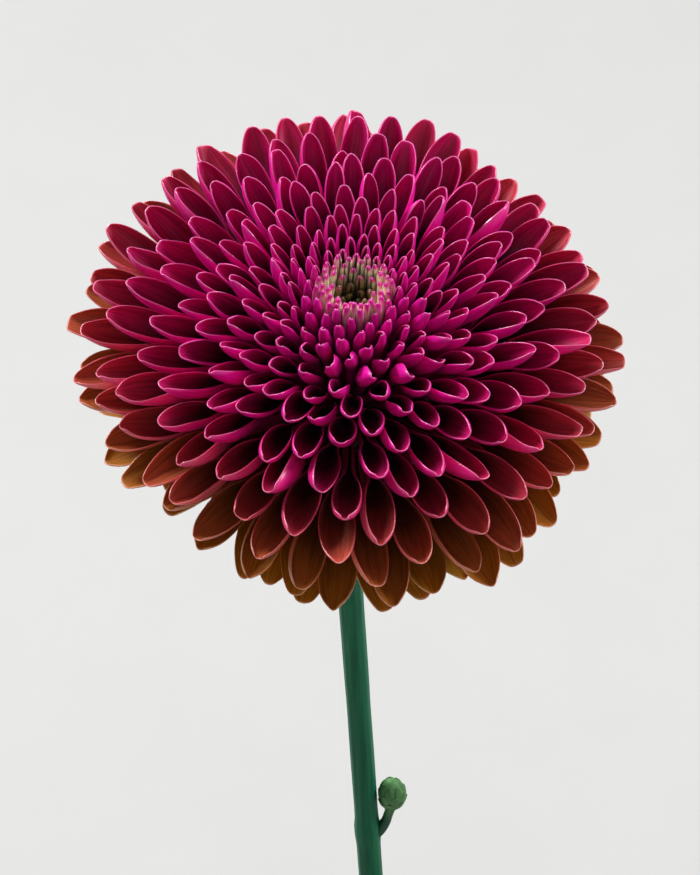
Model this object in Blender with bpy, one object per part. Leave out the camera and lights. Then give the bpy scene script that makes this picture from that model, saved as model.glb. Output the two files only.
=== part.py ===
"""A chrysanthemum head on its bare cut stem, standing in a plain bottle vase.

Metres, +Z up; the sizes below are in millimetres. The origin is the centre of the vase's
flat base. The florets follow the golden angle, as they grow: each row is twenty-one florets
in turn, grown from one collar round the domed top of the stem, and the rows run from the
centre of the head out to its drooping edge.
"""
import math

import bmesh
import bpy
import numpy as np
from mathutils import Matrix, Vector

MM = 0.001

# Flower head: its outline about the centre of its widest level.
HEAD_RADIUS = 41.0
CROWN_RISE = 18.0
SKIRT_DROP = 21.0
SKIRT_END = math.radians(124.0)
CENTRE_DIP = 5.0
DIP_RADIUS = 5.5
HEAD_TILT = math.radians(13.0)
HEAD_ROLL = math.radians(1.5)
HEAD_CENTRE = Vector((-10.3, -13.0, 294.0))

# Florets, numbered from the centre out.
GOLDEN_ANGLE = math.radians(137.50776)
PER_ROW = 21
ROWS = 17
CENTRE_ROWS = 2
BRONZE_ROWS = 3
FLORETS = PER_ROW * ROWS
TIP_POWER = 1.06
CENTRE_SPACING = 0.8
BASE_POWER = 0.75
FLORET_FILL = 1.0
WIDEST_FLORET = 6.6
FLORET_THICKNESS = 0.7
EDGE_CUPPING = 0.5
# Direction of a floret's tip from the head's axis, in degrees, at angles down the outline.
LEAN_LEVELS = (0.0, 6.0, 12.0, 22.0, 32.0, 45.0, 60.0, 75.0, 90.0, 105.0, 124.0)
LEANS = (-25.0, -5.0, 12.0, 34.0, 48.0, 62.0, 74.0, 86.0, 98.0, 116.0, 140.0)
# Sections of a blade: share of its length, width and cupping as shares of its full width.
BLADE_SECTIONS = ((0.3, 0.6, 0.3), (0.62, 0.95, 0.42), (0.86, 0.9, 0.5))
# A blade's width also keeps to its share of the circle where it passes between its neighbours.
CIRCLE_SHARE = 0.195
TIP_SPARE = 0.7

# Domed top of the stem, which carries the collars.
DOME_RADIUS = 12.5
DOME_RISE = 13.0
DOME_LEVEL = -10.0
DOME_END = math.radians(95.0)
DOME_STEPS = 6
COLLAR_OFFSET = 0.5
COLLAR_THICKNESS = 0.8
COLLAR_SHARE = 0.62

# Fingers of the youngest florets on their button.
BUTTON_END = math.radians(18.3)
BUTTON_STEPS = 3
BUTTON_SIDES = 24
FINGER_SIDES = 5
FINGER_SPREAD = math.radians(16.2)
FINGER_SECTIONS = ((0.0, 0.3, 0.3), (0.55, 0.36, 0.55), (0.92, 0.42, 0.8))

# Bracts under the head: middle and direction of each collar, tip and lean of its blades.
BRACTS = 13
BRACT_COLLARS = (
    {"middle": (10.7, -14.46), "along": (0.646, 0.763), "tip": (19.0, -12.4), "lean": 62.0, "width": 5.6},
    {"middle": (8.15, -17.0), "along": (0.78, 0.625), "tip": (15.8, -15.4), "lean": 58.0, "width": 4.6},
)
BRACT_OFFSET = 0.6
BRACT_THICKNESS = 0.6
BRACT_COLLAR_HALF = 0.8
BRACT_CUPPING = 0.35

# Stem: a straight run from its cut foot, a bend, and the flare into the dome.
STEM_SIDES = 16
STEM_RADIUS = 2.1
STEM_FOOT = Vector((0.25, 0.0, 5.1))
STEM_BEND = Vector((-9.45, 0.0, 205.0))
BEND_STEPS = 7
BEND_PULL = 0.36
FLARE = (
    (2.2, -27.0), (2.6, -24.0), (3.8, -21.0), (6.4, -18.4), (9.4, -16.0), (11.6, -13.4), (12.4, -11.2),
)

# Side bud on its short stalk: how far out from the stem's middle, height and radius.
BUD_SIDES = 12
BUD_SECTIONS = (
    (3.3, 166.5, 0.9), (3.8, 168.3, 0.85), (4.3, 170.2, 0.9), (4.6, 171.4, 1.4), (4.75, 172.4, 2.0),
    (4.8, 173.8, 2.35), (4.8, 175.3, 2.25), (4.75, 176.7, 1.65), (4.75, 177.7, 0.75),
)

# Vase: radius and height of points on its outer side, which its inner side follows.
VASE_SIDES = 28
VASE_WALL = 3.3
VASE_FLOOR = 4.6
VASE_SMOOTHING = 2
VASE_OUTSIDE = (
    (26.0, 0.0), (28.6, 1.8), (35.4, 15.0), (38.0, 35.0), (34.6, 57.0), (25.4, 77.0), (15.6, 93.0),
    (11.3, 105.0), (10.8, 115.0), (12.0, 124.0), (14.2, 130.0),
)

VASE_GREY = (0.045, 0.048, 0.052)
STEM_GREEN = (0.006, 0.115, 0.06)
BUD_GREEN = (0.05, 0.16, 0.05)
BRACT_GREEN = (0.02, 0.09, 0.035)
CENTRE_CREAM = (0.62, 0.42, 0.28)
FLORET_MAGENTA = (0.52, 0.004, 0.14)
FLORET_BRONZE = (0.33, 0.06, 0.015)


def clear_scene():
    for item in list(bpy.data.objects):
        bpy.data.objects.remove(item, do_unlink=True)


def make_material(name, colour, roughness):
    material = bpy.data.materials.new(name)
    material.use_nodes = True
    shader = material.node_tree.nodes["Principled BSDF"]
    shader.inputs["Base Color"].default_value = (*colour, 1.0)
    shader.inputs["Roughness"].default_value = roughness
    shader.inputs["Metallic"].default_value = 0.0
    return material


def add_object(name, shape, material):
    """Turn a shape drawn in millimetres into an object of its own, shaded smooth."""
    bmesh.ops.scale(shape, vec=(MM, MM, MM), verts=shape.verts)
    bmesh.ops.recalc_face_normals(shape, faces=shape.faces)
    mesh = bpy.data.meshes.new(name)
    shape.to_mesh(mesh)
    shape.free()
    mesh.materials.append(material)
    mesh.shade_smooth()
    mesh.set_sharp_from_angle(angle=math.radians(40.0))
    item = bpy.data.objects.new(name, mesh)
    bpy.context.scene.collection.objects.link(item)
    return item


def head_frame():
    """Place of the head: its axis nods forward and a little to the right of the stem's top."""
    turn = Matrix.Rotation(HEAD_ROLL, 4, "Y") @ Matrix.Rotation(HEAD_TILT, 4, "X")
    return Matrix.Translation(HEAD_CENTRE) @ turn


# Shared shapes

def add_ring(shape, centre, axis, radius, sides):
    across = Vector((0.0, 1.0, 0.0)).cross(axis).normalized()
    along = axis.cross(across).normalized()
    ring = []
    for place in range(sides):
        angle = math.tau * place / sides
        spoke = across * math.cos(angle) + along * math.sin(angle)
        ring.append(shape.verts.new(centre + spoke * radius))
    return ring


def bridge_rings(shape, below, above):
    for place, vert in enumerate(below):
        shape.faces.new((below[place - 1], vert, above[place], above[place - 1]))


def add_tube(shape, stations, sides):
    """Closed tube through stations of centre, axis and radius. Returns its two end faces."""
    rings = [add_ring(shape, *station, sides) for station in stations]
    for below, above in zip(rings, rings[1:]):
        bridge_rings(shape, below, above)
    return shape.faces.new(rings[0]), shape.faces.new(rings[-1])


def curve_point(curve, share):
    """Point and direction of a cubic curve at a share of its length."""
    a, b, c, d = curve
    rest = 1.0 - share
    point = rest ** 3 * a + 3 * rest ** 2 * share * b + 3 * rest * share ** 2 * c + share ** 3 * d
    along = rest ** 2 * (b - a) + 2 * rest * share * (c - b) + share ** 2 * (d - c)
    return point, along.normalized()


def turned(radius, height, side, angle):
    """Point at a radius and height, a distance to one side, turned about the axis."""
    return Matrix.Rotation(angle, 3, "Z") @ Vector((radius, side, height))


def blade_section(curve, share, angle, width, depth, thickness):
    """Left edge, keel, right edge and trough of a cupped blade at a share of its length."""
    point, along = curve_point(curve, share)
    inward = Vector((-along.y, along.x))
    keel = point - inward * depth
    trough = keel + inward * thickness
    return (
        turned(point.x, point.y, -width / 2, angle),
        turned(keel.x, keel.y, 0.0, angle),
        turned(point.x, point.y, width / 2, angle),
        turned(trough.x, trough.y, 0.0, angle),
    )


def add_collar(shape, angles, corners):
    """Closed ring with one diamond on its outside for each angle. Returns the diamonds."""
    low, high, inner_low, inner_high = corners
    count = len(angles)
    middle = (low + high) / 2
    keel, trough, side, under, over = [], [], [], [], []
    for place, angle in enumerate(angles):
        half = ((angles[(place + 1) % count] - angle) % math.tau) / 2
        keel.append(shape.verts.new(turned(low.x, low.y, 0.0, angle)))
        trough.append(shape.verts.new(turned(high.x, high.y, 0.0, angle)))
        side.append(shape.verts.new(turned(middle.x, middle.y, 0.0, angle + half)))
        under.append(shape.verts.new(turned(inner_low.x, inner_low.y, 0.0, angle)))
        over.append(shape.verts.new(turned(inner_high.x, inner_high.y, 0.0, angle)))
    diamonds = []
    for place in range(count):
        after = (place + 1) % count
        diamonds.append(shape.faces.new((side[place - 1], keel[place], side[place], trough[place])))
        shape.faces.new((side[place], trough[after], trough[place]))
        shape.faces.new((side[place], keel[place], keel[after]))
        shape.faces.new((trough[place], trough[after], over[after], over[place]))
        shape.faces.new((keel[after], keel[place], under[place], under[after]))
        shape.faces.new((over[place], over[after], under[after], under[place]))
    return diamonds


def grow_blade(shape, face, sections, tip):
    """Extrude a diamond through a blade's sections and close it at the tip."""
    corners = [vert.co.copy() for vert in face.verts]
    for section in sections:
        face = bmesh.ops.extrude_discrete_faces(shape, faces=[face])["faces"][0]
        for vert in face.verts:
            nearest = min(range(4), key=lambda place: (vert.co - corners[place]).length)
            vert.co = section[nearest]
        corners = section
    bmesh.ops.poke(shape, faces=[face])["verts"][0].co = tip


# Flower head

def outline_lengths():
    """Angles down the head's outline, each with its distance from the centre along it."""
    levels = np.linspace(0.0, SKIRT_END, 400)
    rises = np.where(levels < math.pi / 2, CROWN_RISE, SKIRT_DROP)
    steps = np.hypot(np.diff(HEAD_RADIUS * np.sin(levels)), np.diff(rises * np.cos(levels)))
    return levels, np.concatenate([[0.0], np.cumsum(steps)])


LEVELS, LENGTHS = outline_lengths()


def outline_point(level):
    """Radius and height of the head's outline at an angle from its axis, with its central dip."""
    radius = HEAD_RADIUS * math.sin(level)
    if level > math.pi / 2:
        return Vector((radius, SKIRT_DROP * math.cos(level)))
    dip = CENTRE_DIP * math.exp(-(radius / DIP_RADIUS) ** 2)
    return Vector((radius, CROWN_RISE * math.cos(level) - dip))


def floret_age(number):
    """Age of a floret, from 0 at the centre to 1 at the edge."""
    return (number + 0.6) / FLORETS


def tip_reach(number):
    """How far from the centre a floret's tip is along the outline: evenly packed at first."""
    packed = CENTRE_SPACING * math.sqrt(number + 0.5)
    return max(packed, LENGTHS[-1] * floret_age(number) ** TIP_POWER)


def tip_level(number):
    return float(np.interp(tip_reach(number), LENGTHS, LEVELS))


def floret_room(number):
    """Side of the square of outline that one floret has to itself."""
    step = TIP_POWER * tip_reach(number) / (number + 0.6)
    return math.sqrt(math.tau * HEAD_RADIUS * math.sin(tip_level(number)) * step)


def base_level(number):
    return DOME_END * floret_age(number) ** BASE_POWER


def dome_point(level, offset):
    """Point a little off the dome's outline at an angle from its axis."""
    normal = dome_normal(level)
    return Vector((DOME_RADIUS * math.sin(level), DOME_LEVEL + DOME_RISE * math.cos(level))) + normal * offset


def dome_normal(level):
    return Vector((math.sin(level) / DOME_RADIUS, math.cos(level) / DOME_RISE)).normalized()


def floret_curve(number, start, normal):
    """Midline of a floret as radius and height: square off the dome, then along its lean."""
    level = tip_level(number)
    tip = outline_point(level)
    lean = math.radians(float(np.interp(math.degrees(level), LEAN_LEVELS, LEANS)))
    direction = Vector((math.sin(lean), math.cos(lean)))
    span = (tip - start).length
    return start, start + normal * 0.35 * span, tip - direction * 0.42 * span, tip


def floret_sections(number, curve, angle):
    """Sections of one floret: a narrow claw that opens into a cupped blade."""
    full = min(WIDEST_FLORET, FLORET_FILL * floret_room(number))
    cupping = 1.0 - EDGE_CUPPING * floret_age(number) ** 3
    sections = []
    for share, width_share, depth_share in BLADE_SECTIONS:
        passing = curve_point(curve, share)[0].x * CIRCLE_SHARE + TIP_SPARE * share ** 2
        width = min(full * width_share, passing)
        thickness = min(FLORET_THICKNESS, 0.45 * width)
        depth = max(width * depth_share * cupping, 0.6 * thickness)
        sections.append(blade_section(curve, share, angle, width, depth, thickness))
    return sections


def make_floret_row(row, material):
    """One row of florets with the collar that they grow from."""
    first = row * PER_ROW
    middle = first + (PER_ROW - 1) / 2
    spread = PER_ROW * COLLAR_SHARE / 2
    lower, upper = base_level(middle + spread), base_level(middle - spread)
    outside = COLLAR_OFFSET + COLLAR_THICKNESS
    corners = (
        dome_point(lower, outside), dome_point(upper, outside),
        dome_point(lower, COLLAR_OFFSET), dome_point(upper, COLLAR_OFFSET),
    )
    numbers = sorted(range(first, first + PER_ROW), key=lambda number: number * GOLDEN_ANGLE % math.tau)
    angles = [number * GOLDEN_ANGLE % math.tau for number in numbers]
    shape = bmesh.new()
    diamonds = add_collar(shape, angles, corners)
    start, normal = dome_point(base_level(middle), outside), dome_normal(base_level(middle))
    for number, angle, face in zip(numbers, angles, diamonds):
        curve = floret_curve(number, start, normal)
        tip = turned(curve[3].x, curve[3].y, 0.0, angle)
        grow_blade(shape, face, floret_sections(number, curve, angle), tip)
    shape.transform(head_frame())
    return add_object(f"floret_row_{row:02d}", shape, material)


def axis_stations(profile):
    """Stations of a turned shape on the head's axis from its radius and height points."""
    return [(Vector((0.0, 0.0, point[1])), Vector((0.0, 0.0, 1.0)), point[0]) for point in profile]


def make_button(material):
    """Cap that sits on the crown of the dome."""
    inside = [dome_point(BUTTON_END * step / BUTTON_STEPS, COLLAR_OFFSET) for step in range(1, BUTTON_STEPS + 1)]
    outside = [dome_point(BUTTON_END * step / BUTTON_STEPS, COLLAR_OFFSET + COLLAR_THICKNESS)
               for step in range(BUTTON_STEPS, 0, -1)]
    shape = bmesh.new()
    add_tube(shape, axis_stations(inside + outside), BUTTON_SIDES)
    shape.transform(head_frame())
    return add_object("centre_florets", shape, material)


def make_fingers(material):
    """The youngest florets, each a finger that thickens to a blunt tip."""
    shape = bmesh.new()
    count = CENTRE_ROWS * PER_ROW
    for number in range(count):
        age = (number + 0.5) / count
        level = FINGER_SPREAD * math.sqrt(age)
        start = dome_point(level, COLLAR_OFFSET + COLLAR_THICKNESS / 2)
        curve = floret_curve(number, start, dome_normal(level))
        angle = number * GOLDEN_ANGLE
        stations = []
        for share, youngest, oldest in FINGER_SECTIONS:
            point, along = curve_point(curve, share)
            centre = turned(point.x, point.y, 0.0, angle)
            radius = youngest + (oldest - youngest) * age
            stations.append((centre, turned(along.x, along.y, 0.0, angle), radius))
        end = add_tube(shape, stations, FINGER_SIDES)[1]
        bmesh.ops.poke(shape, faces=[end])["verts"][0].co = turned(curve[3].x, curve[3].y, 0.0, angle)
    shape.transform(head_frame())
    fingers = add_object("centre_fingers_guide", shape, material)
    fingers.hide_render = True
    fingers.display_type = "WIRE"
    return fingers


def make_centre(material):
    """Button and fingers as one body."""
    centre = make_button(material)
    join = centre.modifiers.new("Fingers", "BOOLEAN")
    join.operation = "UNION"
    join.solver = "EXACT"
    join.object = make_fingers(material)
    return centre


def make_bract_row(place, material):
    """One row of bracts, grown from a collar on the flare of the stem."""
    plan = BRACT_COLLARS[place]
    middle, along = Vector(plan["middle"]), Vector(plan["along"])
    normal = Vector((along.y, -along.x))
    outside = BRACT_OFFSET + BRACT_THICKNESS
    reach = along * BRACT_COLLAR_HALF
    corners = (
        middle - reach + normal * outside, middle + reach + normal * outside,
        middle - reach + normal * BRACT_OFFSET, middle + reach + normal * BRACT_OFFSET,
    )
    start, tip = middle + normal * outside, Vector(plan["tip"])
    lean = math.radians(plan["lean"])
    span = (tip - start).length
    pull = Vector((math.sin(lean), math.cos(lean))) * 0.4 * span
    curve = (start, start + normal * 0.25 * span, tip - pull, tip)
    angles = [math.tau * (number + place / 2) / BRACTS for number in range(BRACTS)]
    shape = bmesh.new()
    for angle, face in zip(angles, add_collar(shape, angles, corners)):
        sections = []
        for share, width_share, depth_share in BLADE_SECTIONS:
            width = plan["width"] * width_share
            depth = max(width * depth_share * BRACT_CUPPING, 0.6 * BRACT_THICKNESS)
            sections.append(blade_section(curve, share, angle, width, depth, BRACT_THICKNESS))
        grow_blade(shape, face, sections, turned(tip.x, tip.y, 0.0, angle))
    shape.transform(head_frame())
    return add_object(f"bract_row_{place + 1}", shape, material)


# Stem, bud and vase

def stem_stations():
    """Stations of the stem from its cut foot to the dome's crown."""
    head = head_frame()
    up = head.to_3x3() @ Vector((0.0, 0.0, 1.0))
    straight = (STEM_BEND - STEM_FOOT).normalized()
    stations = [(STEM_FOOT, straight, STEM_RADIUS)]
    neck = head @ Vector((0.0, 0.0, FLARE[0][1]))
    pull = (neck - STEM_BEND).length * BEND_PULL
    bend = (STEM_BEND, STEM_BEND + straight * pull, neck - up * pull, neck)
    for step in range(BEND_STEPS):
        stations.append((*curve_point(bend, step / BEND_STEPS), STEM_RADIUS))
    profile = list(FLARE)
    for step in range(DOME_STEPS - 1, 0, -1):
        profile.append(dome_point(math.pi / 2 * step / DOME_STEPS, 0.0))
    for radius, height in profile:
        stations.append((head @ Vector((0.0, 0.0, height)), up, radius))
    return stations


def make_stem(material):
    """Cut stem, flare and dome, grown in one."""
    shape = bmesh.new()
    crown = add_tube(shape, stem_stations(), STEM_SIDES)[1]
    top = Vector((0.0, 0.0, DOME_LEVEL + DOME_RISE))
    bmesh.ops.poke(shape, faces=[crown])["verts"][0].co = head_frame() @ top
    return add_object("stem", shape, material)


def make_bud(material):
    """Small closed bud on a short stalk beside the stem."""
    straight = (STEM_BEND - STEM_FOOT).normalized()
    points = []
    for out, height, radius in BUD_SECTIONS:
        foot = STEM_FOOT + straight * ((height - STEM_FOOT.z) / straight.z)
        points.append((foot + Vector((out, 0.0, 0.0)), radius))
    stations = []
    for place, (centre, radius) in enumerate(points):
        before, after = points[max(place - 1, 0)][0], points[min(place + 1, len(points) - 1)][0]
        stations.append((centre, (after - before).normalized(), radius))
    shape = bmesh.new()
    add_tube(shape, stations, BUD_SIDES)
    return add_object("side_bud", shape, material)


def smooth_outline(points, steps):
    """Points on a smooth line through an outline's points, with their outward normals."""
    ends = [2 * points[0] - points[1], *points, 2 * points[-1] - points[-2]]
    line = []
    for before, start, end, after in zip(ends, ends[1:], ends[2:], ends[3:]):
        curve = (start, start + (end - before) / 6, end - (after - start) / 6, end)
        for step in range(steps):
            point, along = curve_point(curve, step / steps)
            line.append((point, Vector((along.y, -along.x))))
    point, along = curve_point(curve, 1.0)
    line.append((point, Vector((along.y, -along.x))))
    return line


def make_vase(material):
    """Bottle vase with a flat base, a full body, a narrow neck and a turned-out rim."""
    line = smooth_outline([Vector(point) for point in VASE_OUTSIDE], VASE_SMOOTHING)
    outside = [point for point, _ in line]
    inside = [point - normal * VASE_WALL for point, normal in line]
    inside = [point for point in inside if point.y > VASE_FLOOR + VASE_WALL]
    floor = [Vector((inside[0].x - 2.0, VASE_FLOOR + 0.8)), Vector((inside[0].x - 6.0, VASE_FLOOR))]
    lip = (outside[-1] + inside[-1]) / 2 + Vector((0.0, 0.7))
    shape = bmesh.new()
    add_tube(shape, axis_stations(outside + [lip] + inside[::-1] + floor), VASE_SIDES)
    return add_object("vase", shape, material)


def make_head():
    magenta = make_material("FloretMagenta", FLORET_MAGENTA, 0.5)
    bronze = make_material("FloretBronze", FLORET_BRONZE, 0.55)
    make_centre(make_material("CentreCream", CENTRE_CREAM, 0.6))
    for row in range(CENTRE_ROWS, ROWS):
        make_floret_row(row, bronze if row >= ROWS - BRONZE_ROWS else magenta)
    bract_green = make_material("BractGreen", BRACT_GREEN, 0.65)
    for place in range(len(BRACT_COLLARS)):
        make_bract_row(place, bract_green)


clear_scene()
make_vase(make_material("VaseGrey", VASE_GREY, 0.45))
make_stem(make_material("StemGreen", STEM_GREEN, 0.6))
make_bud(make_material("BudGreen", BUD_GREEN, 0.6))
make_head()
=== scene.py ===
import math
import random

import bpy
import numpy as np
from mathutils import Matrix, Vector
from mathutils.bvhtree import BVHTree


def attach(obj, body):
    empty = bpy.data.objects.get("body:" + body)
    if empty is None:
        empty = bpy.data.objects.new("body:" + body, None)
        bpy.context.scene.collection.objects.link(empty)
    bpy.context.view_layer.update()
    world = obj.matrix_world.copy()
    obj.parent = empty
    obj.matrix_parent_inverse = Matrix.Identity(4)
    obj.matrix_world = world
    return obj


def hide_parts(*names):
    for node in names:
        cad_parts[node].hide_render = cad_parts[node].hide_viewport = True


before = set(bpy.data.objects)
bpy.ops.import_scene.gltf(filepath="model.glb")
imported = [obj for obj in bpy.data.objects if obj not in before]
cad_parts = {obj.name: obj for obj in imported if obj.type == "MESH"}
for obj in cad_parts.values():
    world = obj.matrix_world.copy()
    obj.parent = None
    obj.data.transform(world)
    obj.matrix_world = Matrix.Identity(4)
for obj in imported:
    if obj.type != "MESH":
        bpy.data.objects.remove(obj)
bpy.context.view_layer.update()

MM = 0.001

# Flower head, in millimetres about the centre of its widest level. Its outline is the part's, but
# the centre dips deeper and has a crest on the side that nods down.
HEAD_RADIUS = 41.0
CROWN_RISE = 18.0
SKIRT_DROP = 21.0
SKIRT_END = math.radians(124.0)
CENTRE_DIP = 5.4
DIP_RADIUS = 3.7
CREST_RISE = 1.6
CREST_RADIUS = 4.2
CREST_WIDTH = 1.3
HEAD_TILT = math.radians(13.0)
HEAD_ROLL = math.radians(1.5)
HEAD_CENTRE = Vector((-10.3, -13.0, 294.0))
HEAD_TURN = Matrix.Rotation(HEAD_ROLL, 4, "Y") @ Matrix.Rotation(HEAD_TILT, 4, "X")
HEAD = Matrix.Translation(HEAD_CENTRE) @ HEAD_TURN

# Florets, numbered from the centre out along the golden angle, in rows of one age.
GOLDEN_ANGLE = math.radians(137.50776)
PER_ROW = 21
ROWS = 17
CENTRE_ROWS = 2
BRONZE_ROWS = 3
FLORETS = PER_ROW * ROWS
# More small florets stand round the centre than in the part. PLACES are numbers here, and
# PART_PLACES are the numbers of the florets that stand there in the part.
SMALL_FLORETS = 55
PLACES = (0, 24, 130, 216, FLORETS + SMALL_FLORETS)
PART_PLACES = (0, 24, 96, 161, FLORETS)
# How the tips spread along the outline: the power of age, the millimetres between the youngest,
# and how much closer to the centre the young ones crowd, fading with age.
TIP_POWER = 1.06
CENTRE_SPACING = 0.8
CROWDING = 0.3
CROWDED_AGE = 0.28
# How the bases spread over the domed top: the power of age, and how far the youngest reach.
BASE_POWER = 0.75
FINGER_SPREAD = math.radians(16.2)
# Lean from the head's axis, in degrees, by the level of the tip on the outline, in degrees.
LEAN_LEVELS = (0.0, 6.0, 12.0, 22.0, 32.0, 45.0, 60.0, 75.0, 90.0, 105.0, 124.0)
LEANS = (-25.0, -4.0, 17.0, 46.0, 58.0, 67.0, 76.0, 86.0, 98.0, 116.0, 140.0)
# A floret that passes through others is regrown: sweeps over the head, ways tried in each, how
# near another floret is looked at, and the share of the blade from which it counts as open.
SWEEPS = 3
GROWTHS = 12
NEAR = 14.0 * MM
OPEN_FROM = 0.2
# Seed of a floret's own variation: the first, the step to the next floret, and to its next way.
FIRST_SEED = 28
FLORET_STEP = 7
GROWTH_STEP = 5003

# Growth of a floret with its age, from the youngest in the centre to the oldest at the edge:
# its width, its depth and the length of its mouth as shares of that, how much further round it
# closes than a middle-aged one, in degrees, how much it narrows towards the tip, how even its
# width is otherwise, and the depth of the grooves along it.
AGES = (0.0, 0.1, 0.15, 0.22, 0.3, 0.45, 0.6, 0.75, 0.88, 1.0)
WIDTHS = (1.15, 1.05, 1.5, 2.1, 2.75, 3.85, 4.7, 5.5, 6.7, 7.6)
DEPTHS = (0.5, 0.5, 0.54, 0.58, 0.58, 0.57, 0.54, 0.47, 0.37, 0.28)
MOUTHS = (2.4, 3.0, 3.2, 3.1, 3.0, 2.8, 2.7, 2.6, 2.5, 2.5)
CLOSINGS = (80.0, 70.0, 42.0, 13.0, 2.0, 0.0, -1.0, -4.0, -16.0, -28.0)
TAPERS = (0.2, 0.45, 0.45, 0.35, 0.15, 0.0, 0.0, 0.0, 0.0, 0.0)
EVENNESS = (0.9, 0.85, 0.7, 0.4, 0.0, 0.0, 0.0, 0.0, 0.0, 0.0)
GROOVES = (0.0, 0.0, 0.0, 0.0, 0.0, 0.0, 0.08, 0.2, 0.35, 0.4)
# How much older the oldest florets' colours are on the side that nods down, as a share of all ages.
OLDER_BELOW = 0.14
# Small florets crumple on the side that nods down: how much, at what age most, and how far in
# age that spreads.
CRUMPLE = 1.7
CRUMPLED_AGE = 0.22
CRUMPLED_SPAN = 0.09
# Share of the blade from where the tube opens, half width and depth there, how far round it
# closes, in degrees, and how far its sides are drawn back to round the tip.
BLADE = (
    (0.0, 0.50, 0.50, 170.0, 0.0), (0.14, 0.66, 0.66, 146.0, 0.0), (0.31, 0.88, 0.88, 127.0, 0.0),
    (0.48, 1.0, 1.0, 118.0, 0.0), (0.65, 0.99, 0.97, 111.0, 0.0), (0.81, 0.87, 0.77, 105.0, 0.03),
    (0.93, 0.62, 0.44, 99.0, 0.08), (1.0, 0.30, 0.09, 92.0, 0.12),
)
# How evenly wide a young floret is made, up to what share of its blade, and how fast one narrows.
EVEN_WIDTH = 0.97
EVEN_UP_TO = 0.7
NARROWING_POWER = 1.5
# Least share of the midline that is tube, and how far along the tube its middle ring of corners is.
SHORTEST_TUBE = 0.12
TUBE_RING = 0.55
# Least and most that a blade closes, in degrees, and how fast its sides swing in and out, in
# radians over its length.
CLOSING_LIMITS = (20.0, 176.0)
SIDE_WAVES = 6.0
# Lift of the tip as a share of the depth, and the thickness of a floret, in millimetres.
TIP_LIFT = 0.25
SKIN = 0.26
# Reach below the tip, in millimetres, over which a floret's colour changes.
TIP_REACH = 8.0
# Sides of the head towards which the florets grow longer or shorter: middle and width of each
# side, in degrees, and the change in length of the oldest ones.
UNEVEN_SIDES = (
    (10.0, 40.0, -1.6), (46.0, 15.0, -2.4), (95.0, 18.0, 1.4), (175.0, 30.0, 0.7),
    (225.0, 22.0, -2.6), (270.0, 15.0, 2.0), (306.0, 12.0, 2.0), (330.0, 16.0, -2.2),
)

# Domed top of the stem and the flare below it.
DOME_RADIUS = 12.5
DOME_RISE = 13.0
DOME_LEVEL = -10.0
DOME_END = math.radians(95.0)
FLARE = (
    (2.2, -27.0), (2.6, -24.0), (3.8, -21.0), (6.4, -18.4), (9.4, -16.0), (11.6, -13.4),
    (12.4, -11.2),
)

# Stem: straight from its foot to the bend, then curved into the head, swollen at the side bud.
STEM_RADIUS = 2.1
STEM_FOOT = Vector((0.25, 0.0, 5.1))
STEM_BEND = Vector((-9.45, 0.0, 205.0))
BEND_PULL = 0.36
RIBS = 10
RIB_DEPTH = 0.05
NODE_HEIGHT = 164.4
NODE_SWELLING = 0.3
NODE_LENGTH = 2.2
# Heights between which the stem turns dark maroon: painted shade where it runs up into the head.
HEAD_SHADE = (281.0, 286.0)

# Side bud: out from the stem's middle, height, radius. Then its scales: height and length of each
# row, with the skin of a scale and the heights between which the stalk becomes the bud.
BUD_SECTIONS = (
    (0.9, 162.9, 1.3), (2.2, 164.5, 1.15), (3.3, 166.5, 0.92), (3.8, 168.3, 0.85),
    (4.3, 170.2, 0.92), (4.6, 171.4, 1.45), (4.75, 172.4, 2.05), (4.8, 173.8, 2.35),
    (4.8, 175.3, 2.25), (4.75, 176.7, 1.6), (4.75, 177.5, 0.8), (4.75, 177.8, 0.2),
)
BUD_SCALES = ((170.9, 3.0), (172.2, 3.4), (173.7, 3.6))
SCALES_ROUND = 7
SCALE_SKIN = 0.14
STALK_END = (167.4, 172.4)

# Bracts under the head: where a row starts, with the direction of the flare there, where its tips
# are, how far those lean, in degrees, and the width. Then the blade, as for a floret.
BRACTS = 13
FIRST_BRACT_SEED = 11
BRACT_ROWS = (
    ((10.7, -14.46), (0.646, 0.763), (18.6, -11.5), 62.0, 8.2),
    ((8.15, -17.0), (0.78, 0.625), (15.8, -14.3), 58.0, 7.2),
)
BRACT_BLADE = (
    (0.0, 0.62, 0.62, 62.0, 0.0), (0.16, 0.80, 0.80, 58.0, 0.0), (0.34, 0.95, 0.95, 52.0, 0.0),
    (0.52, 1.0, 1.0, 48.0, 0.0), (0.70, 0.86, 0.86, 46.0, 0.0), (0.84, 0.6, 0.6, 46.0, 0.0),
    (0.94, 0.32, 0.32, 46.0, 0.0), (1.0, 0.06, 0.06, 46.0, 0.0),
)
BRACT_SKIN = 0.3

# Vase: radius and height of points on its outside, which its inside follows. Then the heights
# between which the glaze starts above the foot and thins at the rim, and how much both wander.
VASE_SIDES = 72
VASE_WALL = 3.3
VASE_FLOOR = 4.6
VASE_FOOT = ((21.0, 1.3), (22.0, 1.1), (22.6, 0.2), (23.2, 0.0), (25.3, 0.0))
VASE_OUTSIDE = (
    (26.0, 0.4), (28.6, 1.8), (35.4, 15.0), (38.0, 35.0), (34.6, 57.0), (25.4, 77.0), (15.6, 93.0),
    (11.3, 105.0), (10.8, 115.0), (12.0, 124.0), (14.2, 130.0),
)
GLAZE_START = (0.8, 1.4)
GLAZE_THINS = (128.5, 132.5)
GLAZE_WANDER = 4.0

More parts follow.
